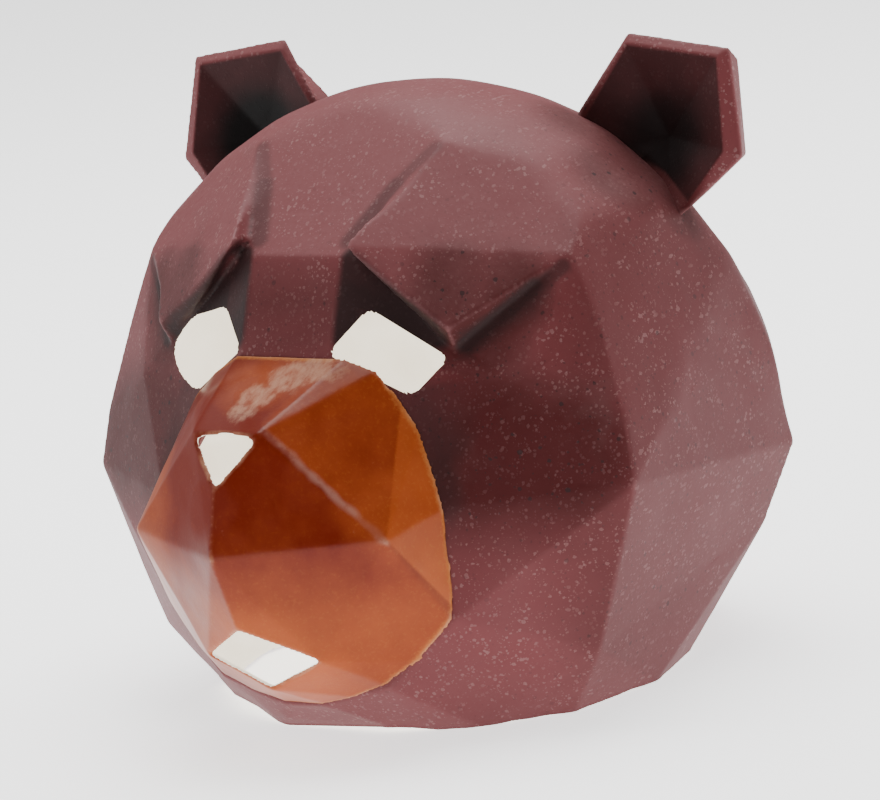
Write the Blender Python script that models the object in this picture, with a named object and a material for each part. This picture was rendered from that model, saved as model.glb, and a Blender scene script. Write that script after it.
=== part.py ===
"""Faceted latex bear mask, worn over the whole head and standing on its open neck rim.

The bear faces -Y and its left side is +X. The origin is on the floor, under the middle of the mask.
Each form is the convex hull of a few named corners, which are shares of the named sizes. A wall is
made by the same form with its faces moved in, and a seat by the same form with its faces moved out.
"""
import math
from collections import namedtuple

import bmesh
import bpy
from mathutils import Vector
from mathutils.bvhtree import BVHTree

# Head, in metres
HEAD_WIDTH = 0.273
HEAD_HEIGHT = 0.255
HEAD_LENGTH = 0.236
HEAD_WALL = 0.002
BROW_SINK = 0.030

# Muzzle
MUZZLE_WIDTH = 0.145
MUZZLE_HEIGHT = 0.144
MUZZLE_BASE = 0.018
MUZZLE_REACH = 0.0663
MUZZLE_WALL = 0.002
MUZZLE_LIP = 0.0012
MUZZLE_LEDGE = 0.006
MUZZLE_SINK = 0.020

# Ears
EAR_WIDTH = 0.076
EAR_HEIGHT = 0.071
EAR_DEPTH = 0.014
EAR_RIDGE = 0.0035
EAR_SPLAY = 0.004
EAR_LEAN = 0.016
EAR_BACK = 0.131
EAR_TURN = 44
EAR_SET_IN = 0.03275
EAR_SET_DOWN = 0.0187
EAR_RIM = 0.0028
EAR_WALL = 0.0022
EAR_CUP = 0.012
EAR_BACK_SHARE = 0.84
CUP_SHARE = 1.2

# Eye, nose and mouth holes
EYE_WIDTH = 0.045
EYE_HEIGHT = 0.036
EYE_ACROSS = 0.046
EYE_BELOW_MUZZLE_TOP = 0.0005
EYE_ROUND = 0.004
NOSE_WIDTH = 0.031
NOSE_HEIGHT = 0.020
NOSE_UP = 0.1305
NOSE_ROUND = 0.0025
MOUTH_WIDTH = 0.056
MOUTH_HEIGHT = 0.029
MOUTH_UP = 0.0455
MOUTH_ROUND = 0.002
HOLE_REACH = 0.09

# Clearance between pieces that touch
SEAT_GAP = 0.0003

# Corners nearer than this are one, and faces that differ by less than these degrees are one face
SAME_POINT = 0.00001
SAME_FACE = 0.6
HOLE_STEPS = 3

EYE_UP = MUZZLE_BASE + MUZZLE_HEIGHT - EYE_BELOW_MUZZLE_TOP

# The tip of the muzzle and the back of the head lie equally far from the origin
FACE_Y = MUZZLE_REACH - (HEAD_LENGTH + MUZZLE_REACH) / 2

# Head corners on the bear's left: shares of half the width, of the length back from the face, and
# of the height
Corner = namedtuple("Corner", "name across depth up")
HEAD_CORNERS = (
    Corner("bridge_top", 0.17, 0.075, 0.785),
    Corner("bridge_low", 0.17, 0.005, 0.63),
    Corner("brow_peak", 0.345, 0.28, 0.935),
    Corner("brow_outer", 0.785, 0.255, 0.755),
    Corner("eye_side", 0.695, 0.115, 0.57),
    Corner("temple", 0.905, 0.245, 0.59),
    Corner("cheek", 1.0, 0.18, 0.395),
    Corner("muzzle_side", 0.52, 0.0, 0.39),
    Corner("muzzle_low", 0.53, -0.015, 0.21),
    Corner("chin_side", 0.31, -0.055, 0.10),
    Corner("chin", 0.06, -0.065, 0.06),
    Corner("jaw", 0.815, 0.175, 0.118),
    Corner("rim_front", 0.20, 0.035, 0.0),
    Corner("rim_corner", 0.43, 0.095, 0.0),
    Corner("rim_turn", 0.65, 0.21, 0.0),
    Corner("rim_side", 0.755, 0.40, 0.0),
    Corner("rim_rear", 0.69, 0.58, 0.0),
    Corner("rim_back", 0.40, 0.83, 0.0),
    Corner("rear_jaw", 0.79, 0.55, 0.08),
    Corner("rear_low", 0.87, 0.72, 0.20),
    Corner("rear_side", 0.865, 0.74, 0.59),
    Corner("rear_middle", 0.935, 0.775, 0.45),
    Corner("rear_corner", 0.935, 0.785, 0.32),
    Corner("nape_side", 0.50, 0.92, 0.13),
    Corner("back_low", 0.38, 1.0, 0.33),
    Corner("back_high", 0.40, 0.99, 0.56),
)
BROW_CORNERS = (
    Corner("brow_peak", 0.345, 0.28, 0.935),
    Corner("brow_outer", 0.785, 0.255, 0.755),
    Corner("brow_inner", 0.237, 0.052, 0.817),
    Corner("brow_low", 0.522, 0.072, 0.668),
    Corner("brow_root", 0.515, 0.092, 0.63),
)

# Rounded crown, an ellipsoid whose half axes are shares of the head's sizes
CROWN_ACROSS_SHARE = 1.10
CROWN_ALONG_SHARE = 0.53
CROWN_UP_SHARE = 0.563
CROWN_DEPTH_SHARE = 0.465
CROWN_TURNS = 16

# Rings of the crown: degrees above its middle, and where behind the face a ring starts
Ring = namedtuple("Ring", "lean start")
CROWN_RINGS = (Ring(90, 0.27), Ring(78, 0.27), Ring(66, 0.27), Ring(54, 0.27), Ring(40, 0.29), Ring(24, 0.50))

# Muzzle corners in front of the face: shares of half the width, of the reach and of the height
MuzzleCorner = namedtuple("MuzzleCorner", "name across reach up")
MUZZLE_CORNERS = (
    MuzzleCorner("nose_top", 0.225, 0.685, 0.855),
    MuzzleCorner("nose_low", 0.0, 0.88, 0.71),
    MuzzleCorner("tip", 0.0, 1.0, 0.523),
    MuzzleCorner("side", 0.868, 0.486, 0.53),
    MuzzleCorner("upper_lip", 0.0, 0.824, 0.295),
    MuzzleCorner("mouth_corner", 0.388, 0.59, 0.18),
    MuzzleCorner("lower_lip", 0.0, 0.55, 0.08),
)

# Outline of the muzzle on the face: shares of half the width and of the height
Outline = namedtuple("Outline", "across up")
MUZZLE_OUTLINE = (
    Outline(0.33, 0.995),
    Outline(0.54, 0.94),
    Outline(0.71, 0.87),
    Outline(0.82, 0.785),
    Outline(0.90, 0.68),
    Outline(0.98, 0.57),
    Outline(1.0, 0.33),
    Outline(0.99, 0.25),
    Outline(0.90, 0.20),
    Outline(0.77, 0.13),
    Outline(0.57, 0.065),
    Outline(0.36, 0.025),
    Outline(0.14, 0.0),
)

# Rim of the ear, from inside to outside over the top: shares of its width and height
EAR_RIM_CORNERS = (
    Outline(0.0, 0.57),
    Outline(0.29, 1.0),
    Outline(0.94, 0.91),
    Outline(1.0, 0.34),
    Outline(0.74, 0.02),
)
EAR_ROOT_CORNERS = (
    Outline(0.04, 0.30),
    Outline(0.56, -0.12),
)
EAR_DEEP = Outline(0.50, 0.39)

# Corners of the holes: shares of half their width and of half their height
EYE_CORNERS = (Outline(-0.37, 0.98), Outline(1.0, -0.19), Outline(0.33, -1.0), Outline(-1.0, 0.10))
NOSE_CORNERS = (Outline(-1.0, 0.80), Outline(0.0, 1.0), Outline(1.0, 0.80), Outline(0.0, -1.0))
MOUTH_CORNERS = (Outline(0.0, 1.0), Outline(1.0, -0.10), Outline(0.0, -1.0), Outline(-1.0, -0.10))

# Finish of each piece: colour, roughness
LATEX_BROWN = ((0.255, 0.105, 0.112, 1.0), 0.55)
LATEX_ORANGE = ((0.36, 0.085, 0.022, 1.0), 0.35)


def head_point(corner, side=1):
    return Vector((side * corner.across * HEAD_WIDTH / 2,
                   FACE_Y + corner.depth * HEAD_LENGTH,
                   corner.up * HEAD_HEIGHT))


def crown_points():
    points = []
    for ring in CROWN_RINGS:
        lean = math.radians(ring.lean)
        for turn in range(CROWN_TURNS):
            angle = 2 * math.pi * turn / CROWN_TURNS
            across = CROWN_ACROSS_SHARE * math.cos(lean) * math.sin(angle)
            depth = CROWN_DEPTH_SHARE - CROWN_ALONG_SHARE * math.cos(lean) * math.cos(angle)
            up = 1 - CROWN_UP_SHARE * (1 - math.sin(lean))
            if depth > ring.start:
                points.append(head_point(Corner("crown", across, depth, up)))
    return points


def head_points():
    return [head_point(corner, side) for corner in HEAD_CORNERS for side in (1, -1)] + crown_points()


def brow_points(side):
    front = [head_point(corner, side) for corner in BROW_CORNERS]
    return front + [point + Vector((0, BROW_SINK, 0)) for point in front]


def muzzle_points(head_tree):
    """Front corners, and the outline where it meets the face, raised by the lip and sunk behind it."""
    points = []
    for side in (1, -1):
        for corner in MUZZLE_CORNERS:
            points.append(Vector((side * corner.across * MUZZLE_WIDTH / 2,
                                  FACE_Y - corner.reach * MUZZLE_REACH,
                                  MUZZLE_BASE + corner.up * MUZZLE_HEIGHT)))
        for corner in MUZZLE_OUTLINE:
            start = Vector((side * corner.across * MUZZLE_WIDTH / 2,
                            FACE_Y - MUZZLE_REACH,
                            MUZZLE_BASE + corner.up * MUZZLE_HEIGHT))
            seat = head_tree.ray_cast(start, Vector((0, 1, 0)))[0]
            points.append(seat - Vector((0, MUZZLE_LIP, 0)))
            points.append(seat + Vector((0, MUZZLE_SINK, 0)))
    return points


def ear_seat(head_tree):
    """Point of the head that the left ear stands on, turned down from the top of the crown."""
    hub = Vector((0, FACE_Y + EAR_BACK, (1 - CROWN_UP_SHARE) * HEAD_HEIGHT))
    turn = math.radians(EAR_TURN)
    return head_tree.ray_cast(hub, Vector((math.sin(turn), 0, math.cos(turn))))[0]


def ear_point(stand, corner, back, side):
    return Vector((side * (stand.x - EAR_SET_IN + corner.across * EAR_WIDTH),
                   stand.y + corner.up * EAR_LEAN + back,
                   stand.z - EAR_SET_DOWN + corner.up * EAR_HEIGHT))


def ear_points(stand, side):
    """Front rim, roots sunk in the head, and the back drawn in towards the middle of the ear."""
    corners = EAR_RIM_CORNERS + EAR_ROOT_CORNERS
    front = [ear_point(stand, corner, 0, side) for corner in corners]
    rear = [ear_point(stand, corner, EAR_DEPTH, side) for corner in corners]
    splay = Vector((side * EAR_SPLAY, 0, 0))
    middle = ear_point(stand, EAR_DEEP, EAR_DEPTH, side)
    back = [middle.lerp(point, EAR_BACK_SHARE) + splay for point in rear]
    ridge = ear_point(stand, EAR_DEEP, EAR_DEPTH + EAR_RIDGE, side) + splay
    return front + back + [ridge]


def cup_points(stand, side):
    """Pyramid that hollows the front of the ear, carried on in front of its rim and into the head."""
    deep = ear_point(stand, EAR_DEEP, EAR_CUP, side)
    middle = ear_point(stand, EAR_DEEP, 0, side)
    points = [deep]
    for corner in EAR_RIM_CORNERS + EAR_ROOT_CORNERS:
        edge = ear_point(stand, corner, 0, side)
        edge += (middle - edge).normalized() * EAR_RIM
        points.append(deep + (edge - deep) * CUP_SHARE)
    return points


def hull(points):
    """Closed convex form round the points, with its flat faces left whole."""
    form = bmesh.new()
    for point in points:
        form.verts.new(point)
    bmesh.ops.remove_doubles(form, verts=form.verts, dist=SAME_POINT)
    made = bmesh.ops.convex_hull(form, input=form.verts, use_existing_faces=False)
    spare = {v for v in made["geom_interior"] + made["geom_unused"] if isinstance(v, bmesh.types.BMVert)}
    bmesh.ops.delete(form, geom=list(spare), context="VERTS")
    bmesh.ops.dissolve_limit(form, angle_limit=math.radians(SAME_FACE), verts=form.verts, edges=form.edges)
    bmesh.ops.recalc_face_normals(form, faces=form.faces)
    form.normal_update()
    return form


def moved(points, step, floor_step=None):
    """Corners of the convex form round the points, once each face has moved out by the step."""
    form = hull(points)
    middle = sum((v.co for v in form.verts), Vector()) / len(form.verts)
    poles = []
    for face in form.faces:
        out = floor_step if floor_step is not None and face.normal.z < -0.99 else step
        poles.append(face.normal / ((face.verts[0].co - middle).dot(face.normal) + out))
    form.free()
    dual = hull(poles)
    corners = [middle + face.normal / face.verts[0].co.dot(face.normal) for face in dual.faces]
    dual.free()
    return corners


def window(corners, width, height, across, up, side, rounding):
    """Prism along Y that cuts a hole, with rounded corners."""
    points = []
    for corner in corners:
        x = side * (across + corner.across * width / 2)
        z = up + corner.up * height / 2
        points += [Vector((x, FACE_Y - HOLE_REACH, z)), Vector((x, FACE_Y + HOLE_REACH, z))]
    form = hull(points)
    long_edges = [e for e in form.edges if abs((e.verts[0].co - e.verts[1].co).y) > HOLE_REACH]
    bmesh.ops.bevel(form, geom=long_edges, offset=rounding, offset_type="OFFSET", segments=HOLE_STEPS,
                    profile=0.5, affect="EDGES", clamp_overlap=True)
    return form


def material(name, finish):
    colour, roughness = finish
    made = bpy.data.materials.new(name)
    made.use_nodes = True
    shader = made.node_tree.nodes["Principled BSDF"]
    shader.inputs["Base Color"].default_value = colour
    shader.inputs["Roughness"].default_value = roughness
    shader.inputs["Metallic"].default_value = 0.0
    made.diffuse_color = colour
    return made


def add_form(name, form, collection):
    mesh = bpy.data.meshes.new(name)
    form.to_mesh(mesh)
    form.free()
    made = bpy.data.objects.new(name, mesh)
    collection.objects.link(made)
    return made


def add_cutter(name, form):
    made = add_form(name, form, cutters)
    made.hide_render = True
    made.display_type = "WIRE"
    return made


def boolean(target, tool, operation):
    step = target.modifiers.new(tool.name, "BOOLEAN")
    step.operation = operation
    step.object = tool
    step.solver = "EXACT"


def make_head():
    head = add_form("head_shell", hull(head_points()), mask)
    head.data.materials.append(material("brown_latex", LATEX_BROWN))
    for side, tag in ((1, "left"), (-1, "right")):
        boolean(head, add_cutter("brow_" + tag, hull(brow_points(side))), "UNION")
    boolean(head, add_cutter("head_hollow", hull(moved(head_points(), -HEAD_WALL, HEAD_WALL))), "DIFFERENCE")
    for side, tag in ((1, "left"), (-1, "right")):
        hollow = hull(moved(brow_points(side), -HEAD_WALL))
        boolean(head, add_cutter("brow_hollow_" + tag, hollow), "DIFFERENCE")
        eye = window(EYE_CORNERS, EYE_WIDTH, EYE_HEIGHT, EYE_ACROSS, EYE_UP, side, EYE_ROUND)
        boolean(head, add_cutter("eye_hole_" + tag, eye), "DIFFERENCE")
    return head


def make_muzzle(head, head_tree, head_seat):
    points = muzzle_points(head_tree)
    muzzle = add_form("muzzle", hull(points), mask)
    muzzle.data.materials.append(material("orange_latex", LATEX_ORANGE))
    boolean(muzzle, add_cutter("muzzle_hollow", hull(moved(points, -MUZZLE_WALL))), "DIFFERENCE")
    boolean(muzzle, head_seat, "DIFFERENCE")
    nose = window(NOSE_CORNERS, NOSE_WIDTH, NOSE_HEIGHT, 0, NOSE_UP, 1, NOSE_ROUND)
    boolean(muzzle, add_cutter("nose_hole", nose), "DIFFERENCE")
    mouth = window(MOUTH_CORNERS, MOUTH_WIDTH, MOUTH_HEIGHT, 0, MOUTH_UP, 1, MOUTH_ROUND)
    boolean(muzzle, add_cutter("mouth_hole", mouth), "DIFFERENCE")
    opening = hull(moved(points, -MUZZLE_WALL - MUZZLE_LEDGE))
    boolean(head, add_cutter("muzzle_opening", opening), "DIFFERENCE")


def make_ear(side, tag, head_tree, head_seat):
    stand = ear_seat(head_tree)
    points = ear_points(stand, side)
    ear = add_form("ear_" + tag, hull(points), mask)
    ear.data.materials.append(material("ear_latex_" + tag, LATEX_BROWN))
    hollow = add_cutter("ear_hollow_" + tag, hull(moved(points, -EAR_WALL)))
    cup = cup_points(stand, side)
    boolean(hollow, add_cutter("ear_cup_wall_" + tag, hull(moved(cup, EAR_WALL))), "DIFFERENCE")
    boolean(ear, hollow, "DIFFERENCE")
    boolean(ear, add_cutter("ear_cup_" + tag, hull(cup)), "DIFFERENCE")
    boolean(ear, head_seat, "DIFFERENCE")


for old in list(bpy.data.objects):
    bpy.data.objects.remove(old)
mask = bpy.data.collections.new("bear_mask")
cutters = bpy.data.collections.new("cutters")
bpy.context.scene.collection.children.link(mask)
bpy.context.scene.collection.children.link(cutters)

head_shell = make_head()
skin = BVHTree.FromBMesh(hull(head_points()))
seat = add_cutter("head_seat", hull(moved(head_points(), SEAT_GAP)))
make_muzzle(head_shell, skin, seat)
make_ear(1, "left", skin, seat)
make_ear(-1, "right", skin, seat)
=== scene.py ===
"""Looks of a faceted latex bear mask that stands on its open neck rim.

The bear faces -Y and its left side is +X. All sizes are in metres.
"""
import math

import bmesh
import bpy
from bpy.props import FloatProperty, FloatVectorProperty, IntProperty, PointerProperty
from mathutils import Matrix, Vector, noise
from mathutils.bvhtree import BVHTree


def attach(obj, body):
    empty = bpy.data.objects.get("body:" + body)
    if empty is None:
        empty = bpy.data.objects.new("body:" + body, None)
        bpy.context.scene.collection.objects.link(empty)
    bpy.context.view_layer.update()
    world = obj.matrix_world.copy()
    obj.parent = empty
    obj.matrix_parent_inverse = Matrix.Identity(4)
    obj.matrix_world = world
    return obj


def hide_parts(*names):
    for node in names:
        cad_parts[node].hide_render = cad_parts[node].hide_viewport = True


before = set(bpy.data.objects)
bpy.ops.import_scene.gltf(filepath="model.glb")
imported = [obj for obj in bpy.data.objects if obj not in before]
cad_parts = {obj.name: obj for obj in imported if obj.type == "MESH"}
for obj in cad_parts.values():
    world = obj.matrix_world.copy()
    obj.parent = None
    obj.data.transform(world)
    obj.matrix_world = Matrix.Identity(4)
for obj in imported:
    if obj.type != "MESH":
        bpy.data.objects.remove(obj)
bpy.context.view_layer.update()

bl_info = {
    "name": "Latex bear mask",
    "version": (1, 0, 0),
    "blender": (4, 5, 0),
    "location": "View3D > Sidebar > Bear mask",
    "description": "Dresses the faceted latex bear mask and sets its studio stage",
    "category": "Object",
}

# Camera that the photograph gives, in the mask's frame
CAMERA_AIM = Vector((0.0, 0.02315, 0.116))
CAMERA_RIGHT = Vector((0.8290, 0.5470, -0.1163))
CAMERA_UP = Vector((-0.0249, 0.2438, 0.9695))
CAMERA_DISTANCE = 2.15715
CAMERA_LENS = 205.2
CAMERA_SENSOR = 36
CAMERA_CLIP = 100
# Soft lights of the studio: name, place, side, setting that holds the power; and the place that they face
SOFTBOXES = (
    ("softbox_top", (-0.1, 0.5, 1.9), 1.6, "top_light"),
    ("softbox_left", (-1.6, -0.3, 0.9), 1.3, "side_light"),
    ("softbox_right", (1.2, 1.4, 0.8), 1.3, "side_light"),
)
LIGHTS_AIM = Vector((0, 0, 0.12))

# Brow corners on the bear's left, close to those of the solid part, and how far a brow reaches back into the head
BROW = (
    (0.0471, -0.0188, 0.2384),
    (0.1071, -0.0247, 0.1925),
    (0.0286, -0.0731, 0.2057),
    (0.0713, -0.0679, 0.1703),
    (0.0703, -0.0631, 0.1607),
)
BROW_SINK = 0.030
# Points that lift the crease between brow and cheek
CHEEK_CREASE = ((0.1209, -0.0294, 0.1601), (0.1324, -0.0379, 0.1228))
# How far the neck is drawn down before it is cut level
NECK_SPARE = 0.012

# Outlines of the eye holes, seen from the front: shares of half their width and of half their height
EYE_LEFT = ((-0.47, 0.99), (1.0, -0.22), (0.42, -1.0), (-1.11, 0.07))
EYE_RIGHT = ((-0.37, 0.98), (0.50, 0.62), (1.05, -0.16), (0.88, -0.68), (0.33, -1.02), (-1.0, 0.10))
# Middle of the left eye hole, seen from the front, and how far from each corner its edge starts to turn
EYE_CENTRE = (0.046, 0.1615)
EYE_TURN = 0.005
# Half of the opening behind the muzzle, from its top down: place across, height
MUZZLE_OPENING = (
    (0.0, 0.144), (0.026, 0.143), (0.040, 0.135), (0.054, 0.117), (0.063, 0.098), (0.064, 0.063),
    (0.0628, 0.0485), (0.0550, 0.0390), (0.0420, 0.0300), (0.0260, 0.0238), (0.0, 0.0198),
)
# How far round a hole the skin is cut along the hole's straight sides
TRIM_MARGIN = 0.006

# Hand trimmed front of the neck rim: place across, lift
RIM_TRIM = (
    (-0.135, 0.0), (-0.128, 0.0018), (-0.093, 0.0044), (-0.062, 0.0062), (-0.046, 0.0044), (-0.031, 0.0009),
    (-0.019, 0.0), (-0.009, 0.0015), (0.030, 0.0020), (0.046, 0.0), (0.135, 0.0),
)
# How far all of the rim is lifted, give or take as much
RIM_LIFT = 0.0004
# Where the side of the head swells behind the cheek, on the bear's left, how far round, and which way
SIDE_SWELL = Vector((0.131, 0.093, 0.132))
SWELL_REACH = 0.045
SWELL_WAY = (0.83, 0.55, 0.0)
# Pulls that make the bear's right brow as wide as the hand-made one: place, reach, move
FACE_PULLS = (((-0.0720, -0.0665, 0.1670), 0.034, (-0.0062, 0.0027, 0.0)),)
# Unevenness of hand-made latex: scale, depth
HEAD_UNEVEN = ((0.045, 0.0006), (0.012, 0.00015))
MUZZLE_UNEVEN = ((0.030, 0.0004), (0.009, 0.00012))
# Share of the wall's thickness that the tight folds near the brows have
FOLD_WALL = 0.15

# Corners of the left ear that its rolled rim moves: place in the solid, shift
EAR_CORNERS = (
    ((0.1420, 0.0516, 0.2191), (0.0025, 0.0030, -0.0036)),
    ((0.1374, 0.0607, 0.2596), (0.0006, 0.0030, 0.0006)),
    ((0.0880, 0.0622, 0.2660), (0.0009, 0.0031, 0.0012)),
    ((0.1392, 0.0516, 0.2194), (-0.0018, 0.0, 0.0)),
    ((0.1356, 0.0602, 0.2576), (-0.0020, 0.0, 0.0)),
    ((0.0768, 0.0678, 0.2334), (-0.0120, 0.0, 0.0)),
    ((0.0784, 0.0654, 0.2228), (-0.0120, 0.0, 0.0)),
    ((0.1399, 0.0657, 0.2197), (0.0, 0.0, -0.0050)),
)
# How near a vertex lies to the corner that it moves with
EAR_CORNER_REACH = 0.0019
# Deepest place of the left ear's cup, and how far from it the painted shade ends and is full
EAR_HUB = (0.104, 0.0650, 0.2210)
EAR_HUB_REACH = (0.040, 0.010)
# Inner edge of the left ear's rim, seen from the front
EAR_RIM = ((0.1376, 0.2185), (0.1338, 0.2572), (0.0894, 0.2628), (0.0690, 0.2334), (0.1205, 0.1980))
# How dark the painted shade at the bottom of each ear's cup is
EAR_CUP_SHADE = {"left": 0.72, "right": 1.0}

# Corners of the muzzle's outline that its paint line moves, on the bear's left: place, shift
MUZZLE_CORNERS = (
    ((0.0250, -0.0837, 0.1595), (0.0065, 0.0, -0.0002)), ((0.0383, -0.0806, 0.1525), (0.0030, 0.0, 0.0016)),
)
MUZZLE_CORNER_REACH = 0.0030
# Middle of the hollow muzzle
MUZZLE_MIDDLE = Vector((0.0, -0.058, 0.088))
# Edges between the muzzle's upper right flats: the one from the nostril, worn pale and given a painted highlight,
# and the one near the outline
PALE_RIDGE = ((0.0190, -0.1275, 0.1400), (0.0642, -0.1168, 0.0925))
SIDE_RIDGE = ((0.0532, -0.0844, 0.1360), (0.0624, -0.1172, 0.0937))

# Where the head is airbrushed dark, with painted shade round the muzzle, under the brows and before the ears, on
# the bear's left: place, reach
HEAD_WASH_AND_SHADE = (
    ((0.085, -0.065, 0.120), 0.055), ((0.078, -0.055, 0.163), 0.030), ((0.103, 0.028, 0.214), 0.034),
    ((0.0, -0.074, 0.180), 0.034), ((0.045, -0.075, 0.165), 0.030), ((0.090, -0.045, 0.180), 0.026),
    ((0.068, -0.058, 0.187), 0.026), ((0.110, -0.052, 0.115), 0.047),
)
# The dark line before the ear's foot, on the bear's left, and how far from it the dark ends and is full
EAR_SHADOW = ((0.080, 0.045, 0.238), (0.119, 0.050, 0.200))
EAR_SHADOW_REACH = (0.034, 0.008)
# Painted shade on the bear's left side: how dark it is, and between which places across it sets in
SIDE_SHADE = 0.52
SIDE_SHADE_SPAN = (0.090, 0.115)
# How dark an ear's foot is, airbrushed dark with painted shade where it meets the head, and how far from the head
# the dark ends and is full
FOOT_WASH_AND_SHADE = 0.8
FOOT_WASH_AND_SHADE_REACH = (0.022, 0.004)
# Painted shade in the grooves and recesses round the brows and along the muzzle's edge, laid on as grey airbrush,
# on the bear's left: start, end, reach, strength
BROW_SHADE = (
    ((0.1040, -0.0280, 0.1875), (0.0950, -0.0370, 0.1800), 0.0045, 0.60),
    ((0.0950, -0.0370, 0.1800), (0.0740, -0.0590, 0.1620), 0.0066, 0.85),
    ((0.0300, -0.0700, 0.1955), (0.0620, -0.0650, 0.1675), 0.0100, 1.0),
    ((0.0330, -0.0680, 0.1870), (0.0600, -0.0635, 0.1690), 0.0120, 1.0),
    ((0.0290, -0.0665, 0.1990), (0.0285, -0.0780, 0.1680), 0.0085, 1.0),
    ((0.0560, -0.0770, 0.1400), (0.0670, -0.0780, 0.1000), 0.0140, 0.55),
    ((0.0670, -0.0780, 0.1000), (0.0680, -0.0730, 0.0550), 0.0120, 0.40),
)
# The same on the forehead beside the brows, where the material draws them
FOREHEAD_SHADE = (
    ((0.0440, -0.0225, 0.2368), (0.0340, -0.0375, 0.2240), 0.0055, 0.40),
    ((0.0340, -0.0375, 0.2240), (0.0230, -0.0610, 0.2055), 0.0065, 0.55),
)
# Where the muzzle's paint is matt, where painted light makes it lighter, and where it is scuffed: place, reach
MUZZLE_MATT = (((-0.027, -0.086, 0.157), 0.020), ((-0.035, -0.122, 0.118), 0.050), ((-0.008, -0.140, 0.112), 0.020))
MUZZLE_LIT = (
    ((0.060, -0.105, 0.105), 0.030), ((-0.050, -0.110, 0.100), 0.035), ((0.0, -0.118, 0.040), 0.045),
    ((0.0, -0.100, 0.155), 0.028),
)
MUZZLE_SCUFFS = (
    ((0.022, -0.089, 0.159), 0.017), ((0.010, -0.097, 0.156), 0.017), ((0.002, -0.108, 0.151), 0.014),
    ((0.001, -0.118, 0.147), 0.011),
)
# Width of the ochre paint along the muzzle's trimmed edge
RIM_PAINT = 0.0050

# Paint that only tints small places of the brown latex; the crease and groove colours are painted shade, the cup
# colours dark paint and painted shade
CLOUD_TINT = (0.13, 0.070, 0.068)
CREASE_SHADE = (0.035, 0.012, 0.012)
DARK_SPECK = (0.020, 0.014, 0.015)
GROOVE_SHADE = (0.016, 0.010, 0.010)
CUP_PAINT_AND_SHADE = (0.032, 0.0075, 0.0080)
CUP_BOTTOM_SHADE = (0.0040, 0.0025, 0.0025)
# The same of the orange latex: painted glints, scuffs, a worn ridge and edges that also carry painted highlights,
# and painted shade in creases
GLINT_GRAIN = (0.42, 0.14, 0.025)
SCUFF_TINT = (0.46, 0.26, 0.17)
WORN_HIGHLIGHT_TINT = (0.36, 0.19, 0.15)
EDGE_WEAR_AND_HIGHLIGHT = (0.50, 0.25, 0.15)
FOLD_SHADE = (0.05, 0.008, 0.002)
# Bare latex inside, where it is darker, and the colour of the painted light that it glows with
BARE = (0.86, 0.82, 0.74)
BARE_SHADE = (0.74, 0.68, 0.58)
BARE_LIGHT = (1.0, 0.96, 0.88)
FLOOR_GREY = (0.88, 0.88, 0.88)
WHITE = (1.0, 1.0, 1.0)
# Sockets of the node that mixes two colours
MIX_SHARE, MIX_LOW, MIX_HIGH, MIX_OUT = 0, 6, 7, 2


# Modelling helpers

def deselect_all():
    if bpy.context.object and bpy.context.object.mode != "OBJECT":
        bpy.ops.object.mode_set(mode="OBJECT")
    bpy.ops.object.select_all(action="DESELECT")


def select_only(piece):
    deselect_all()
    piece.select_set(True)
    bpy.context.view_layer.objects.active = piece


def edit(piece):
    """Selects the piece alone and opens it for editing, with all of it selected."""
    select_only(piece)
    bpy.ops.object.mode_set(mode="EDIT")
    bpy.ops.mesh.select_all(action="SELECT")


def node_copy(node, name):
    """A piece of its own from a copy of the CAD node's mesh, with its loose triangles merged."""
    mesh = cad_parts[node].data.copy()
    mesh.materials.clear()
    piece = bpy.data.objects.new(name, mesh)
    piece.data.name = name
    bpy.context.scene.collection.objects.link(piece)
    edit(piece)
    bpy.ops.mesh.remove_doubles(threshold=0.00001)
    bpy.ops.mesh.customdata_custom_splitnormals_clear()
    bpy.ops.object.mode_set(mode="OBJECT")
    return piece


def select_where(piece, test):
    shape = bmesh.from_edit_mesh(piece.data)
    for vertex in shape.verts:
        vertex.select = test(vertex.co)
    shape.select_flush(True)
    shape.select_flush(False)
    bmesh.update_edit_mesh(piece.data)


def apply(piece, kind, **settings):
    """Adds a modifier with its settings and applies it."""
    select_only(piece)
    step = piece.modifiers.new(kind.lower(), kind)
    for name, value in settings.items():
        setattr(step, name, value)
    bpy.ops.object.modifier_apply(modifier=step.name)


def remesh(piece, cell, rounds):
    """Gives the piece an even mesh of the cell size and rounds its edges."""
    apply(piece, "REMESH", mode="VOXEL", voxel_size=cell, use_smooth_shade=True)
    apply(piece, "SMOOTH", factor=0.5, iterations=rounds)


def weigh(piece, group, weight):
    """Vertex group whose weights a function of each vertex gives."""
    made = piece.vertex_groups.new(name=group)
    for vertex in piece.data.vertices:
        value = weight(vertex.co)
        if value > 0.001:
            made.add((vertex.index,), min(value, 1.0), "REPLACE")
    return made.name


def ramp(value, low, high):
    """0 below low, 1 above high and smooth between them; low may be the larger."""
    share = min(max((value - low) / (high - low), 0.0), 1.0)
    return share * share * (3 - 2 * share)


def mirrored(point, side):
    """A point given for the bear's left, for the side 1 (left) or -1 (right)."""
    return Vector((side * point[0], point[1], point[2]))


def folded(co):
    """A point's likeness on the bear's left."""
    return Vector((abs(co.x), co.y, co.z))


def move_corners(piece, corners, reach, side=1):
    """Moves the vertices that lie within reach of a corner by that corner's shift."""
    for vertex in piece.data.vertices:
        for corner, shift in corners:
            if (vertex.co - mirrored(corner, side)).length < reach:
                vertex.co += mirrored(shift, side)
                break


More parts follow.
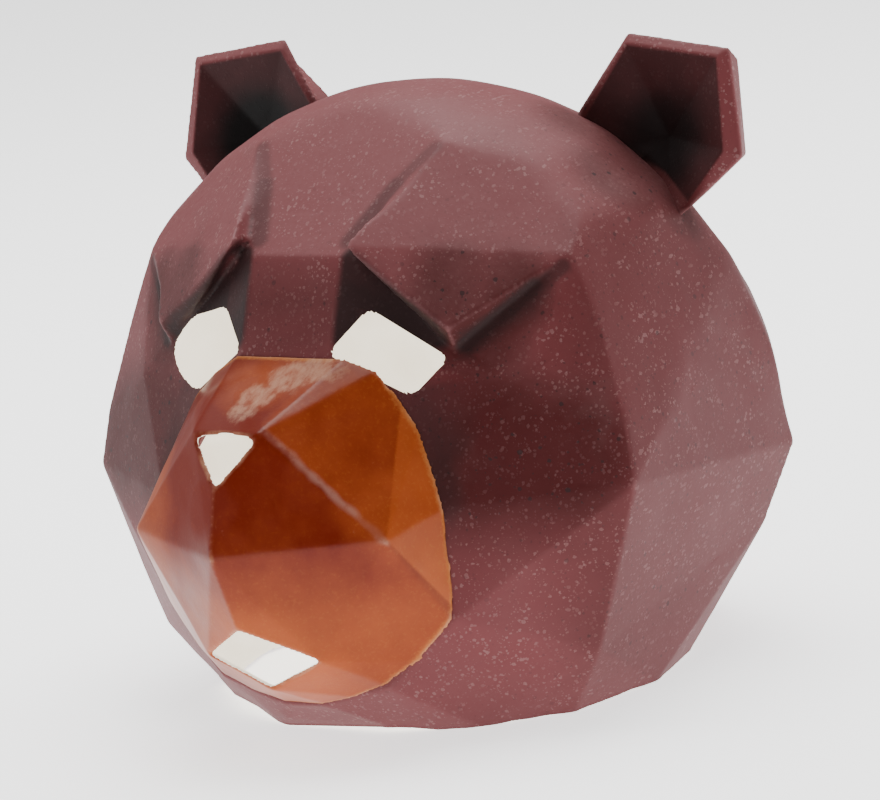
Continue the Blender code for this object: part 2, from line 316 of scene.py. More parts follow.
def rounded(corners, radius, steps=4):
    """The corners of an outline, each turned into an arc that starts at the radius from it."""
    points = []
    count = len(corners)
    for index, corner in enumerate(corners):
        here = Vector(corner)
        back = (Vector(corners[index - 1]) - here).normalized() * radius
        on = (Vector(corners[(index + 1) % count]) - here).normalized() * radius
        for step in range(steps + 1):
            t = step / steps
            points.append((here + back) * (1 - t) ** 2 + here * 2 * t * (1 - t) + (here + on) * t * t)
    return points


def trim(piece, outline):
    """Cuts the skin along an outline that is seen from the front, and takes out what is inside it."""
    middle = sum(outline, Vector((0, 0))) / len(outline)
    reach = max((point - middle).length for point in outline) + TRIM_MARGIN
    shape = bmesh.new()
    shape.from_mesh(piece.data)

    def near(face):
        centre = face.calc_center_median()
        return centre.y < 0 and (Vector((centre.x, centre.z)) - middle).length < reach

    for index, point in enumerate(outline):
        after = outline[(index + 1) % len(outline)]
        along = after - point
        if along.length < 1e-6:
            continue
        faces = [face for face in shape.faces if near(face)]
        edges = {edge for face in faces for edge in face.edges}
        verts = {vert for face in faces for vert in face.verts}
        bmesh.ops.bisect_plane(
            shape, geom=list(verts) + list(edges) + faces, dist=1e-6,
            plane_co=(point.x, 0, point.y), plane_no=(along.y, 0, -along.x))
    turn = 1 if area(outline) > 0 else -1

    def inside(face):
        centre = face.calc_center_median()
        if not near(face):
            return False
        for index, point in enumerate(outline):
            along = outline[(index + 1) % len(outline)] - point
            off = Vector((centre.x, centre.z)) - point
            if turn * (along.x * off.y - along.y * off.x) < 0:
                return False
        return True

    bmesh.ops.delete(shape, geom=[face for face in shape.faces if inside(face)], context="FACES")
    shape.to_mesh(piece.data)
    shape.free()


def area(outline):
    total = 0
    for index, point in enumerate(outline):
        after = outline[(index + 1) % len(outline)]
        total += point.x * after.y - point.y * after.x
    return total / 2


def uneven(piece, amounts):
    """Moves the surface in and out by soft noise; amounts holds pairs of scale and depth."""
    for vertex, normal in zip(piece.data.vertices, [n.vector.copy() for n in piece.data.vertex_normals]):
        out = sum(noise.noise(vertex.co / scale) * depth for scale, depth in amounts)
        vertex.co += normal * out


def mark(piece, name, values):
    """Stores one number a vertex, which the material reads."""
    made = piece.data.attributes.new(name, "FLOAT", "POINT")
    made.data.foreach_set("value", values)


def ridges(piece, spread):
    """How much the surface bends out (above 0) or in (below 0) at each vertex, softened over its neighbours."""
    shape = bmesh.new()
    shape.from_mesh(piece.data)
    bend = []
    for vertex in shape.verts:
        total = 0.0
        for link in vertex.link_edges:
            way = link.other_vert(vertex).co - vertex.co
            if way.length > 1e-7:
                total -= vertex.normal.dot(way) / way.length
        bend.append(total / max(len(vertex.link_edges), 1))
    shape.free()
    return soften(piece, bend, spread)


def tree_of(obj):
    shape = bmesh.new()
    shape.from_mesh(obj.data)
    tree = BVHTree.FromBMesh(shape)
    shape.free()
    return tree


def near_any(co, places):
    """How near a point is to the nearest of a few round places: 1 in its middle, 0 from its reach outwards."""
    return max(ramp((co - Vector(place)).length, reach, reach * 0.35) for place, reach in places)


def between(table, place):
    """The value of a table of pairs at a place, on straight lines between its rows."""
    for (low, first), (high, second) in zip(table, table[1:]):
        if low <= place <= high:
            return first + (second - first) * (place - low) / (high - low)
    return 0.0


def depth_inside(outline, across, up):
    """How far a point is inside an outline of straight lines that runs round anticlockwise; below 0 outside it."""
    point = Vector((across, up))
    least = 1.0
    for first, second in zip(outline, outline[1:] + outline[:1]):
        way = (Vector(second) - Vector(first)).normalized()
        off = point - Vector(first)
        least = min(least, way.x * off.y - way.y * off.x)
    return least


def near_line(co, start, end):
    """Distance of a point from a straight line between two points."""
    start, end = Vector(start), Vector(end)
    way = end - start
    share = min(max((co - start).dot(way) / way.length_squared, 0.0), 1.0)
    return (co - start - way * share).length


def beyond(co, start, end):
    """How far a point lies beyond the plane of a line on the muzzle and the muzzle's middle, up or to the side."""
    start, end = Vector(start), Vector(end)
    across = (start - MUZZLE_MIDDLE).cross(end - start).normalized()
    return (co - start).dot(across) * (1 if across.x + across.z > 0 else -1)


def soften(piece, values, times):
    """Each vertex's number mixed with those of its neighbours."""
    links = [[] for _ in piece.data.vertices]
    for edge in piece.data.edges:
        first, second = edge.vertices
        links[first].append(second)
        links[second].append(first)
    for _ in range(times):
        values = [(values[index] + sum(values[near] for near in link)) / (1 + len(link))
                  for index, link in enumerate(links)]
    return values


def line_inside(piece, middle, index):
    """Gives the faces that look towards the middle the material of that index."""
    for face in piece.data.polygons:
        if face.normal.dot(face.center - middle) < 0:
            face.material_index = index


def finish_piece(piece, slot, *nodes):
    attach(piece, "root")
    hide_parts(*nodes)


def smooth_by_angle(piece, degrees):
    """Shades the piece smooth, except across edges sharper than the angle."""
    select_only(piece)
    bpy.ops.object.shade_smooth_by_angle(angle=math.radians(degrees))


# Materials

class Value:
    """A socket of a shader node that takes part in sums like a number."""

    def __init__(self, paint, socket):
        self.paint = paint
        self.socket = socket

    def maths(self, operation, *others):
        return self.paint.add("ShaderNodeMath", {"operation": operation}, dict(enumerate((self, *others)))).out()

    def __add__(self, other):
        return self.maths("ADD", other)

    def __sub__(self, other):
        return self.maths("SUBTRACT", other)

    def __rsub__(self, other):
        return self.paint.add("ShaderNodeMath", {"operation": "SUBTRACT"}, {0: other, 1: self}).out()

    def __mul__(self, other):
        return self.maths("MULTIPLY", other)

    __radd__ = __add__
    __rmul__ = __mul__

    def clamp(self):
        return self.paint.add("ShaderNodeClamp", {}, {"Value": self}).out()

    def ramp(self, low, high):
        """0 at low, 1 at high and smooth between them; low may be the larger."""
        return self.paint.add("ShaderNodeMapRange", {"interpolation_type": "SMOOTHSTEP"},
                              {"Value": self, "From Min": low, "From Max": high}).out()


class Step:
    """A shader node that was added, with its outputs."""

    def __init__(self, paint, node):
        self.paint = paint
        self.node = node

    def out(self, name=0):
        return Value(self.paint, self.node.outputs[name])


class Paint:
    """A material whose nodes are added one by one."""

    def __init__(self, name, **constants):
        self.material = bpy.data.materials.new(name)
        self.material.use_nodes = True
        self.tree = self.material.node_tree
        self.shader = self.tree.nodes["Principled BSDF"]
        for socket, value in constants.items():
            self.shader.inputs[socket.replace("_", " ")].default_value = value
        self.place = self.add("ShaderNodeTexCoord").out("Object")

    def add(self, kind, settings=None, sockets=None):
        node = self.tree.nodes.new(kind)
        for name, value in (settings or {}).items():
            setattr(node, name, value)
        for name, value in (sockets or {}).items():
            self.put(node.inputs[name], value)
        return Step(self, node)

    def put(self, socket, value):
        if isinstance(value, Value):
            self.tree.links.new(value.socket, socket)
        elif isinstance(value, tuple) and len(value) == 3 and socket.type == "RGBA":
            socket.default_value = (*value, 1.0)
        else:
            socket.default_value = value

    def mark(self, name):
        return self.add("ShaderNodeAttribute", {"attribute_name": name}).out("Fac")

    def ragged(self, scale, depth):
        """Places that are moved about by fine noise, which frays the edges of a pattern."""
        shift = self.add("ShaderNodeTexNoise", {}, {"Vector": self.place, "Scale": scale}).out("Color")
        shift = self.add("ShaderNodeVectorMath", {"operation": "SUBTRACT"}, {0: shift, 1: (0.5, 0.5, 0.5)}).out()
        shift = self.add("ShaderNodeVectorMath", {"operation": "SCALE"}, {0: shift, "Scale": depth * 2}).out()
        return self.add("ShaderNodeVectorMath", {"operation": "ADD"}, {0: self.place, 1: shift}).out()

    def stretched(self, place, scale, turn):
        return self.add("ShaderNodeMapping", {}, {"Vector": place, "Scale": scale, "Rotation": turn}).out()

    def noise(self, scale, detail=3.0, rough=0.55, place=None):
        return self.add("ShaderNodeTexNoise", {}, {"Vector": place or self.place, "Scale": scale,
                                                   "Detail": detail, "Roughness": rough}).out("Fac")

    def specks(self, scale, share, size, place=None):
        """Dots on a share of the cells, up to a size that is a share of a cell."""
        cells = self.add("ShaderNodeTexVoronoi", {}, {"Vector": place or self.place, "Scale": scale})
        chance = self.add("ShaderNodeSeparateColor", {}, {"Color": cells.out("Color")}).out("Red")
        width = chance.ramp(1 - share, 1.0) * size
        return (width - cells.out("Distance")).ramp(0.0, 0.06)

    def folded(self):
        """Places with their distance from the middle plane, so that a pattern is the same on both sides."""
        parts = self.add("ShaderNodeSeparateXYZ", {}, {0: self.place})
        return self.add("ShaderNodeCombineXYZ", {}, {
            0: parts.out("X").maths("ABSOLUTE"), 1: parts.out("Y"), 2: parts.out("Z")}).out()

    def near_line(self, place, start, end, reach, strength):
        """The strength on a straight line between two points, and 0 from the reach outwards."""
        way = Vector(end) - Vector(start)
        off = self.add("ShaderNodeVectorMath", {"operation": "SUBTRACT"}, {0: place, 1: start}).out()
        share = self.add("ShaderNodeVectorMath", {"operation": "DOT_PRODUCT"},
                         {0: off, 1: tuple(way / way.length_squared)}).out("Value").clamp()
        foot = self.add("ShaderNodeVectorMath", {"operation": "SCALE"}, {0: tuple(way), "Scale": share}).out()
        away = self.add("ShaderNodeVectorMath", {"operation": "DISTANCE"}, {0: off, 1: foot}).out("Value")
        return away.ramp(reach, reach * 0.3) * strength

    def mix(self, low, high, share):
        """The low colour where the share is 0 and the high one where it is 1."""
        sockets = {MIX_SHARE: share, MIX_LOW: low, MIX_HIGH: high}
        return self.add("ShaderNodeMix", {"data_type": "RGBA"}, sockets).out(MIX_OUT)

    def bump(self, height, depth):
        return self.add("ShaderNodeBump", {}, {"Height": height, "Distance": depth, "Strength": 1.0}).out()

    def wear(self, **sockets):
        for socket, value in sockets.items():
            self.put(self.shader.inputs[socket.replace("_", " ")], value)
        return self.material


def plain(name, colour, roughness, **constants):
    return Paint(name, Base_Color=(*colour, 1.0), Roughness=roughness, **constants).material


def brown_latex(name, sizes, cupped=False):
    """Matt latex paint, mauve where it is dusted and given a painted sheen, with painted highlights on raised
    edges, and maroon where it is airbrushed and where painted shade lies, with painted shade in creases and fine
    specks.
    """
    paint = Paint(name, Specular_IOR_Level=sizes.brown_shine)
    broad = paint.noise(11.0, detail=4.0)
    cloud = paint.noise(38.0, detail=5.0, rough=0.6)
    grain = paint.noise(420.0)
    # Airbrushed maroon and painted shade, with painted shade on the bear's left side
    wash = (paint.mark("wash") + (broad - 0.5) * 0.5 + (cloud - 0.5) * 0.35).clamp()
    # Dust, with a painted sheen on top and painted floor light low down
    dust = (paint.mark("dust") + (cloud - 0.5) * 0.5).clamp()
    bend = paint.mark("ridge")
    colour = paint.mix(tuple(sizes.mauve), tuple(sizes.maroon), wash)
    colour = paint.mix(colour, tuple(sizes.dusty_sheen), dust * (0.35 + 0.5 * grain))
    colour = paint.mix(colour, CLOUD_TINT, paint.noise(27.0, detail=4.0, rough=0.6).ramp(0.60, 0.75) * 0.15)
    # Paler along raised edges: wear and a painted highlight
    colour = paint.mix(colour, tuple(sizes.dusty_sheen), (bend.ramp(0.035, 0.16) * (0.25 + cloud)).clamp() * 0.6)
    # Painted shade in the creases
    colour = paint.mix(colour, CREASE_SHADE, bend.ramp(-0.03, -0.16) * 0.7)
    ragged = paint.ragged(900.0, 0.0006)
    slant = paint.stretched(ragged, (1.0, 0.40, 0.8), (0.4, 0.5, 0.3))
    pale = paint.specks(540.0, share=0.42, size=0.42, place=ragged)
    pale = pale + paint.specks(1000.0, share=0.5, size=0.42, place=ragged) * 0.7
    pale = pale + paint.specks(640.0, share=0.35, size=0.48, place=slant)
    strength = (0.30 + 0.70 * paint.noise(55.0, detail=2.0).ramp(0.35, 0.62)) * (1 - 0.75 * wash)
    colour = paint.mix(colour, tuple(sizes.speck), (pale * strength).clamp() * 0.40)
    dark = paint.specks(300.0, share=0.16, size=0.36, place=ragged)
    dark = dark + paint.specks(600.0, share=0.22, size=0.40, place=ragged) * 0.8
    colour = paint.mix(colour, DARK_SPECK, (dark * (0.18 + 0.82 * wash)).clamp() * 0.75)
    if cupped:
        # Dark paint in the ear's cup, deepened as painted shade, and painted shade at its bottom
        colour = paint.mix(colour, CUP_PAINT_AND_SHADE, paint.mark("cup") * (0.70 + 0.5 * cloud).clamp() * 0.93)
        colour = paint.mix(colour, CUP_BOTTOM_SHADE, (paint.mark("deep") + (cloud - 0.5) * 0.2).ramp(0.1, 0.9))
    else:
        # Painted shade in the grooves round the brows and on the forehead beside them
        place = paint.folded()
        upper, lower = [paint.near_line(place, *row) for row in FOREHEAD_SHADE]
        groove = paint.mark("shade").maths("MAXIMUM", upper).maths("MAXIMUM", lower) * (0.75 + 0.5 * cloud)
        colour = paint.mix(colour, GROOVE_SHADE, groove.clamp() * 0.9)
    height = paint.noise(150.0, detail=4.0) * 0.5 + grain * 0.25 + (pale - dark).clamp() * 0.3
    normal = paint.bump(height, 0.00022)
    return paint.wear(Base_Color=colour, Roughness=0.50 + 0.14 * cloud - 0.06 * grain, Normal=normal)


def orange_latex(name, sizes):
    """Glossy latex paint, red brown to orange by random tone and painted light, ochre along its trimmed edge and
    scuffed pale on top, with painted glints, painted highlights on its worn ridge and edges, and painted shade in
    creases.
    """
    paint = Paint(name, Specular_IOR_Level=sizes.orange_shine)
    broad = paint.noise(17.0, detail=5.0, rough=0.6)
    cloud = paint.noise(60.0, detail=5.0, rough=0.62)
    grain = paint.noise(700.0, rough=0.6)
    bend = paint.mark("ridge")
    # Painted light, with random tone, takes the paint from russet to orange
    lit = (paint.mark("lit") + (broad - 0.5) * 0.7 + (cloud - 0.5) * 0.5).clamp()
    colour = paint.mix(tuple(sizes.russet), tuple(sizes.orange), lit)
    # Fine specks in the paint, brightened as painted glints where painted light falls
    colour = paint.mix(colour, GLINT_GRAIN, (grain.ramp(0.52, 0.70) * (0.15 + lit)).clamp() * 0.22)
    rim = (paint.mark("rim") + (grain - 0.5) * 0.7 + (cloud - 0.5) * 0.6).ramp(0.25, 0.95)
    colour = paint.mix(colour, tuple(sizes.ochre), rim * 0.5)
    slant = paint.stretched(paint.place, (1.0, 0.35, 1.0), (0.0, 0.0, 0.6))
    streak = paint.noise(260.0, detail=4.0, rough=0.7, place=slant)
    scuff = (paint.mark("scuff") * 1.2 + (streak - 0.5) * 2.6 + (cloud - 0.5) * 1.0).ramp(0.40, 1.75)
    colour = paint.mix(colour, SCUFF_TINT, scuff * 0.66)
    # Worn pale ridge, also a painted highlight along its edge
    colour = paint.mix(colour, WORN_HIGHLIGHT_TINT, paint.mark("worn") * (0.30 + 0.70 * cloud.ramp(0.42, 0.60)) * 0.5)
    # Paler on raised edges: wear and a painted highlight
    colour = paint.mix(colour, EDGE_WEAR_AND_HIGHLIGHT, (bend.ramp(0.03, 0.13) * cloud.ramp(0.40, 0.62)).clamp() * 0.5)
    # Painted shade in the creases
    colour = paint.mix(colour, FOLD_SHADE, bend.ramp(-0.04, -0.18) * 0.5)
    height = paint.noise(170.0, detail=4.0) * 0.45 + grain * 0.25 + scuff * 0.3
    normal = paint.bump(height, 0.00016)
    rough = 0.27 + 0.12 * cloud + 0.28 * scuff + 0.2 * rim + 0.35 * paint.mark("matt")
    return paint.wear(Base_Color=colour, Roughness=rough.clamp(), Normal=normal)


def bare_latex(name, sizes):
    """Unpainted natural latex of the inside, pale and a little uneven, glowing with painted light that stands in
    for light through it.
    """
    paint = Paint(name, Emission_Color=(*BARE_LIGHT, 1.0), Emission_Strength=sizes.lining_glow)
    cloud = paint.noise(30.0, detail=5.0, rough=0.6)
    colour = paint.mix(BARE, BARE_SHADE, cloud.ramp(0.35, 0.7))
    normal = paint.bump(paint.noise(200.0, detail=4.0), 0.0002)
    return paint.wear(Base_Color=colour, Roughness=0.62 + 0.1 * cloud, Normal=normal)


# Pieces

def dust_and_sheen_on(piece):
    """Stores where the paint is paler: dust and a painted sheen of the light above on what faces up, and painted
    light from the floor low down.
    """
    values = []
    for vertex, normal in zip(piece.data.vertices, piece.data.vertex_normals):
        # Painted sheen of the light above, with dust, on what faces up
        up = ramp(normal.vector.z, 0.15, 0.85) * 0.50
        # Painted light from the floor, low down
        low = ramp(vertex.co.z, 0.075, 0.015) * 0.20
        values.append(up + low)
    mark(piece, "dust", values)


def on_brow_front(co):
    return 0.028 < abs(co.x) < 0.085 and co.y < -0.055 and 0.135 < co.z < 0.215


def on_crown(co):
    """Where the head is round: its crown, the middle of the forehead and the sides behind the cheek crease."""
    top = ramp(co.y, -0.020, -0.004) * ramp(co.z, 0.180, 0.205)
    forehead = ramp(abs(co.x), 0.046, 0.030) * ramp(co.z, 0.212, 0.226)
    behind = co.y + 0.0227 + (0.1933 - co.z) * 0.215
    side = ramp(behind, 0.004, 0.016) * ramp(co.z, 0.114, 0.136) * ramp(co.y, 0.082, 0.058)
    return max(top, forehead, side)


def wall_share(co):
    """Share of the head's wall, less in front at the height of the brows, where a full wall would break through."""
    return 1.0 if co.y > -0.010 or co.z < 0.140 else FOLD_WALL


def head_blank():
    """The closed head without its brows, drawn down at the neck."""
    skin = node_copy("head_shell", "head_skin")
    edit(skin)
    select_where(skin, on_brow_front)
    bpy.ops.mesh.delete(type="VERT")
    bpy.ops.mesh.select_all(action="SELECT")
    bpy.ops.mesh.delete(type="EDGE_FACE")
    bpy.ops.object.mode_set(mode="OBJECT")
    creases = [mirrored(point, side) for side in (1, -1) for point in CHEEK_CREASE]
    first = len(skin.data.vertices)
    skin.data.vertices.add(len(creases))
    for index, point in enumerate(creases):
        skin.data.vertices[first + index].co = point
    edit(skin)
    bpy.ops.mesh.convex_hull(delete_unused=True, use_existing_faces=False, make_holes=False, join_triangles=True)
    select_where(skin, lambda co: co.z < 0.0005)
    bpy.ops.mesh.extrude_region_move(TRANSFORM_OT_translate={"value": (0, 0, -NECK_SPARE)})
    return skin


def join_brow(skin, side):
    """Joins the block of one brow to the head."""
    front = [mirrored(corner, side) for corner in BROW]
    mesh = bpy.data.meshes.new("brow")
    mesh.from_pydata(front + [corner + Vector((0, BROW_SINK, 0)) for corner in front], [], [])
    brow = bpy.data.objects.new("brow", mesh)
    bpy.context.scene.collection.objects.link(brow)
    edit(brow)
    bpy.ops.mesh.convex_hull()
    select_only(skin)
    brow.select_set(True)
    bpy.ops.object.join()


def cut_holes(skin, sizes):
    """Cuts the eye holes and the opening behind the muzzle."""
    for side, outline in ((1, EYE_LEFT), (-1, EYE_RIGHT)):
        corners = [Vector((side * (EYE_CENTRE[0] + across * sizes.eye_width / 2),
                           EYE_CENTRE[1] + up * sizes.eye_height / 2)) for across, up in outline]
        trim(skin, rounded(corners, EYE_TURN))
    half = [Vector(point) for point in MUZZLE_OPENING]
    trim(skin, half + [Vector((-across, up)) for across, up in reversed(MUZZLE_OPENING[1:-1])])


def hand_shape(skin, sizes):
    """Swells the sides, trims the rim and makes the surface uneven."""
    for vertex in skin.data.vertices:
        co = vertex.co
        side = math.copysign(1, co.x)
        swell = ramp((folded(co) - SIDE_SWELL).length, SWELL_REACH, 0.0) * sizes.side_swell
        co += mirrored(SWELL_WAY, side) * swell
        trimmed = between(RIM_TRIM, co.x) * ramp(co.y, -0.020, -0.035) + RIM_LIFT + RIM_LIFT * noise.noise(co * 90)
        co.z += trimmed * ramp(co.z, 0.035, 0.0)
    uneven(skin, HEAD_UNEVEN)


def mark_head(skin):
    """Stores where the head is airbrushed dark with painted shade, where its grooves hold painted shade, and where
    it is dusted with a painted sheen and painted floor light.
    """
    wash, shade = [], []
    for vertex in skin.data.vertices:
        co = folded(vertex.co)
        # Airbrushed maroon with painted shade, and painted shade on the bear's left side
        wash.append(max(near_any(co, HEAD_WASH_AND_SHADE), ramp(near_line(co, *EAR_SHADOW), *EAR_SHADOW_REACH),
                        SIDE_SHADE * ramp(vertex.co.x, *SIDE_SHADE_SPAN)))
        shade.append(max(strength * ramp(near_line(co, start, end), reach, reach * 0.5)
                         for start, end, reach, strength in BROW_SHADE))
    mark(skin, "wash", wash)
    mark(skin, "shade", shade)
    dust_and_sheen_on(skin)


def build_head(sizes):
    skin = head_blank()
    for side in (1, -1):
        join_brow(skin, side)
    edit(skin)
    bpy.ops.mesh.normals_make_consistent(inside=False)
    remesh(skin, sizes.skin_cell, 2)
    crown = weigh(skin, "crown", on_crown)
    apply(skin, "SMOOTH", factor=0.5, iterations=sizes.crown_rounds, vertex_group=crown)
    edit(skin)
    bpy.ops.mesh.bisect(plane_co=(0, 0, 0), plane_no=(0, 0, 1), clear_inner=True, use_fill=False)
    bpy.ops.object.mode_set(mode="OBJECT")
    cut_holes(skin, sizes)
    mark(skin, "ridge", ridges(skin, 1))
    apply(skin, "DECIMATE", ratio=sizes.skin_share)
    hand_shape(skin, sizes)
    mark_head(skin)
    for place, reach, move in FACE_PULLS:
        for vertex in skin.data.vertices:
            vertex.co += Vector(move) * ramp((vertex.co - Vector(place)).length, reach, 0.0)
    skin.data.materials.append(brown_latex("brown_latex", sizes))
    skin.data.materials.append(bare_latex("head_lining", sizes))
    wall = weigh(skin, "wall", wall_share)
    apply(skin, "SOLIDIFY", thickness=sizes.head_wall, offset=-1.0, use_even_offset=False, material_offset=1,
          vertex_group=wall)
    smooth_by_angle(skin, 50)
    finish_piece(skin, "brown_latex", "head_shell")


def mark_muzzle(skin):
    """Stores where the muzzle is scuffed, where its ridge is worn pale with a painted highlight, where painted
    light falls, and where it is matt.
    """
    scuff, worn, lit, matt = [], [], [], []
    for vertex in skin.data.vertices:
        co = vertex.co
        scuff.append(near_any(co, MUZZLE_SCUFFS))
        worn.append(ramp(near_line(co, *PALE_RIDGE) + 0.0012 * noise.noise(co * 160), 0.0026, 0.0002))
        # Painted light: low down, and on the upper right flats, more beyond the side ridge
        above = ramp(beyond(co, *PALE_RIDGE), 0.0, 0.0015) * ramp(co.x, 0.010, 0.020)
        out = ramp(beyond(co, *SIDE_RIDGE), 0.0, 0.0012)
        light = max(0.5 * near_any(co, MUZZLE_LIT), above * (0.32 + 0.40 * out))
        lit.append(0.5 * ramp(co.z, 0.10, 0.06) + light)
        matt.append(near_any(co, MUZZLE_MATT))
    mark(skin, "scuff", scuff)
    mark(skin, "worn", worn)
    mark(skin, "lit", lit)
    mark(skin, "matt", matt)


def build_muzzle(sizes):
    skin = node_copy("muzzle", "muzzle_skin")
    move_corners(skin, MUZZLE_CORNERS, MUZZLE_CORNER_REACH)
    remesh(skin, sizes.muzzle_cell, 4)
    uneven(skin, MUZZLE_UNEVEN)
    head = tree_of(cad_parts["head_shell"])
    mark(skin, "ridge", ridges(skin, 3))
    mark(skin, "rim", [ramp(head.find_nearest(v.co)[3], RIM_PAINT, 0.0) for v in skin.data.vertices])
    mark_muzzle(skin)
    smooth_by_angle(skin, 60)
    skin.data.materials.append(orange_latex("orange_latex", sizes))
    skin.data.materials.append(bare_latex("muzzle_lining", sizes))
    line_inside(skin, MUZZLE_MIDDLE, 1)
    finish_piece(skin, "orange_latex", "muzzle")


def build_ear(sizes, tag):
    skin = node_copy("ear_" + tag, "ear_skin_" + tag)
    side = 1 if tag == "left" else -1
    move_corners(skin, EAR_CORNERS, EAR_CORNER_REACH, side)
    remesh(skin, sizes.ear_cell, 4)
    head = tree_of(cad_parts["head_shell"])
    mark(skin, "ridge", ridges(skin, 3))
    # Inside of the cup: dark paint and painted shade
    cup = [ramp(depth_inside(EAR_RIM, side * v.co.x, v.co.z), -0.0002, 0.0010) * ramp(n.vector.y, -0.02, -0.15)
           for v, n in zip(skin.data.vertices, skin.data.vertex_normals)]
    mark(skin, "cup", cup)
    hub = mirrored(EAR_HUB, side)
    mark(skin, "deep", [share * EAR_CUP_SHADE[tag] * ramp((v.co - hub).length, *EAR_HUB_REACH)
                        for share, v in zip(cup, skin.data.vertices)])
    # Airbrushed dark and painted shade at the ear's foot, nearest the head
    mark(skin, "wash", [ramp(head.find_nearest(v.co)[3], *FOOT_WASH_AND_SHADE_REACH) * FOOT_WASH_AND_SHADE for v in skin.data.vertices])
    dust_and_sheen_on(skin)
    for vertex in skin.data.vertices:
        _, normal, _, away = head.find_nearest(vertex.co)
        vertex.co -= normal * ramp(away, 0.0025, 0.0005) * sizes.ear_root
    smooth_by_angle(skin, 60)
    skin.data.materials.append(brown_latex("ear_latex_" + tag, sizes, cupped=True))
    finish_piece(skin, "ear_latex", "ear_" + tag)


def build_stage(sizes):
    deselect_all()
    bpy.ops.mesh.primitive_plane_add(size=sizes.floor_size, location=(0, 0, 0))
    floor = bpy.context.object
    floor.name = "floor"
    floor.data.materials.append(plain("studio_floor", FLOOR_GREY, 0.7, Emission_Color=(*WHITE, 1.0),
                                      Emission_Strength=sizes.floor_glow))
    world = bpy.data.worlds.new("studio")
    world.use_nodes = True
    light = world.node_tree.nodes["Background"].inputs
    light["Color"].default_value = (*WHITE, 1.0)
    light["Strength"].default_value = sizes.ambient
    bpy.context.scene.world = world
    for name, place, size, power in SOFTBOXES:
        bpy.ops.object.light_add(type="AREA", location=place)
        lamp = bpy.context.object
        lamp.name = name
        lamp.data.shape = "SQUARE"
        lamp.data.size = size
        lamp.data.energy = getattr(sizes, power)
        lamp.rotation_euler = (LIGHTS_AIM - Vector(place)).to_track_quat("-Z", "Y").to_euler()
    back = CAMERA_RIGHT.cross(CAMERA_UP).normalized()
    camera = bpy.data.objects.new("camera", bpy.data.cameras.new("camera"))
    bpy.context.scene.collection.objects.link(camera)
    camera.data.lens = CAMERA_LENS
    camera.data.sensor_width = CAMERA_SENSOR
    camera.data.clip_end = CAMERA_CLIP
    turn = Matrix((CAMERA_RIGHT, back.cross(CAMERA_RIGHT).normalized(), back)).transposed()
    camera.matrix_world = Matrix.Translation(CAMERA_AIM + back * CAMERA_DISTANCE) @ turn.to_4x4()
    bpy.context.scene.camera = camera


# Add-on

def paint_colour(name, description, default):
    return FloatVectorProperty(name=name, description=description, default=default, subtype="COLOR", size=3)


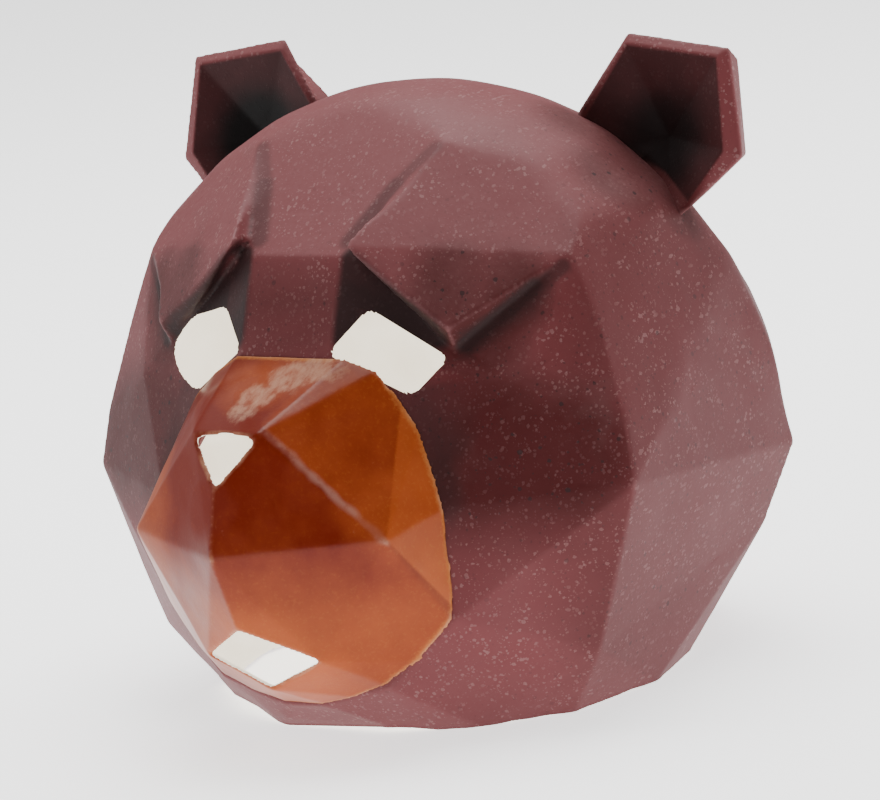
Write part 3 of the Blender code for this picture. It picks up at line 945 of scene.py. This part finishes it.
class MaskSettings(bpy.types.PropertyGroup):
    """Sizes, paints and lights that a user would change."""
    skin_cell: FloatProperty(
        name="Head detail", description="Cell size of the head's skin", default=0.0012, unit="LENGTH")
    muzzle_cell: FloatProperty(
        name="Muzzle detail", description="Cell size of the muzzle's skin", default=0.0010, unit="LENGTH")
    ear_cell: FloatProperty(
        name="Ear detail", description="Cell size of the ears' skin", default=0.0008, unit="LENGTH")
    head_wall: FloatProperty(
        name="Head wall", description="Thickness of the head's latex", default=0.002, unit="LENGTH")
    side_swell: FloatProperty(
        name="Side swell", description="How far the sides swell behind the cheeks", default=0.0040, unit="LENGTH")
    eye_width: FloatProperty(
        name="Eye width", description="Width of an eye hole", default=0.045, unit="LENGTH")
    eye_height: FloatProperty(
        name="Eye height", description="Height of an eye hole", default=0.036, unit="LENGTH")
    ear_root: FloatProperty(
        name="Ear root", description="How far an ear's foot reaches into the head", default=0.004, unit="LENGTH")
    skin_share: FloatProperty(
        name="Head thinning", description="Share of the head's faces that is kept", default=0.235, subtype="FACTOR")
    crown_rounds: IntProperty(
        name="Crown rounds", description="How often the crown is smoothed", default=220)
    mauve: paint_colour("Mauve", "Brown latex paint where it is plain", (0.150, 0.036, 0.039))
    # Maroon goes where the latex is airbrushed and where painted shade lies
    maroon: paint_colour("Maroon", "Brown latex paint where it is airbrushed dark", (0.055, 0.0070, 0.0070))
    # The dust colour, also used for the painted sheen and for painted highlights on raised edges
    dusty_sheen: paint_colour("Dusty", "Brown latex paint where it is dusted pale", (0.24, 0.105, 0.107))
    speck: paint_colour("Specks", "Pale specks in the brown latex paint", (0.33, 0.18, 0.175))
    # Russet where no painted light falls, orange where it does
    russet: paint_colour("Russet", "Muzzle paint where it is dark", (0.130, 0.0080, 0.0006))
    orange: paint_colour("Orange", "Muzzle paint where it is light", (0.38, 0.075, 0.014))
    ochre: paint_colour("Ochre", "Muzzle paint along its trimmed edge", (0.52, 0.20, 0.045))
    brown_shine: FloatProperty(
        name="Brown shine", description="Strength of the reflections on brown latex", default=0.14)
    orange_shine: FloatProperty(
        name="Orange shine", description="Strength of the reflections on orange latex", default=0.17)
    # Painted light: the lining glows of its own
    lining_glow: FloatProperty(
        name="Lining glow", description="Light that comes through the bare latex inside", default=0.5)
    floor_glow: FloatProperty(
        name="Floor glow", description="Light that the studio floor gives of its own", default=1.6)
    floor_size: FloatProperty(
        name="Floor", description="Side of the square studio floor", default=30.0, unit="LENGTH")
    ambient: FloatProperty(
        name="Ambient", description="Strength of the even light all round", default=0.12)
    top_light: FloatProperty(
        name="Top light", description="Power of the soft light above", default=70.0, unit="POWER")
    side_light: FloatProperty(
        name="Side light", description="Power of the soft light on each side", default=12.0, unit="POWER")


class MASK_OT_head(bpy.types.Operator):
    """Build the hollow head with its brows, eye holes and neck rim."""
    bl_idname = "mask.head"
    bl_label = "Head"

    def execute(self, context):
        build_head(context.scene.mask_settings)
        return {"FINISHED"}


class MASK_OT_muzzle(bpy.types.Operator):
    """Build the glossy muzzle with its nose and mouth holes."""
    bl_idname = "mask.muzzle"
    bl_label = "Muzzle"

    def execute(self, context):
        build_muzzle(context.scene.mask_settings)
        return {"FINISHED"}


class MASK_OT_ears(bpy.types.Operator):
    """Build the two cupped ears."""
    bl_idname = "mask.ears"
    bl_label = "Ears"

    def execute(self, context):
        for tag in ("left", "right"):
            build_ear(context.scene.mask_settings, tag)
        return {"FINISHED"}


class MASK_OT_stage(bpy.types.Operator):
    """Set the studio floor, the lights and the camera."""
    bl_idname = "mask.stage"
    bl_label = "Stage"

    def execute(self, context):
        build_stage(context.scene.mask_settings)
        return {"FINISHED"}


class MASK_PT_panel(bpy.types.Panel):
    """Lists the mask's sizes and the steps that build it."""
    bl_idname = "MASK_PT_panel"
    bl_label = "Bear mask"
    bl_space_type = "VIEW_3D"
    bl_region_type = "UI"
    bl_category = "Bear mask"

    def draw(self, context):
        settings = context.scene.mask_settings
        for name in settings.__annotations__:
            self.layout.prop(settings, name)
        for step in (MASK_OT_head, MASK_OT_muzzle, MASK_OT_ears, MASK_OT_stage):
            self.layout.operator(step.bl_idname)


CLASSES = (MaskSettings, MASK_OT_head, MASK_OT_muzzle, MASK_OT_ears, MASK_OT_stage, MASK_PT_panel)


def register():
    for each in CLASSES:
        bpy.utils.register_class(each)
    bpy.types.Scene.mask_settings = PointerProperty(type=MaskSettings)


def unregister():
    del bpy.types.Scene.mask_settings
    for each in reversed(CLASSES):
        bpy.utils.unregister_class(each)


def main():
    register()
    bpy.ops.mask.stage()
    bpy.ops.mask.head()
    bpy.ops.mask.muzzle()
    bpy.ops.mask.ears()


if __name__ == "__main__":
    main()
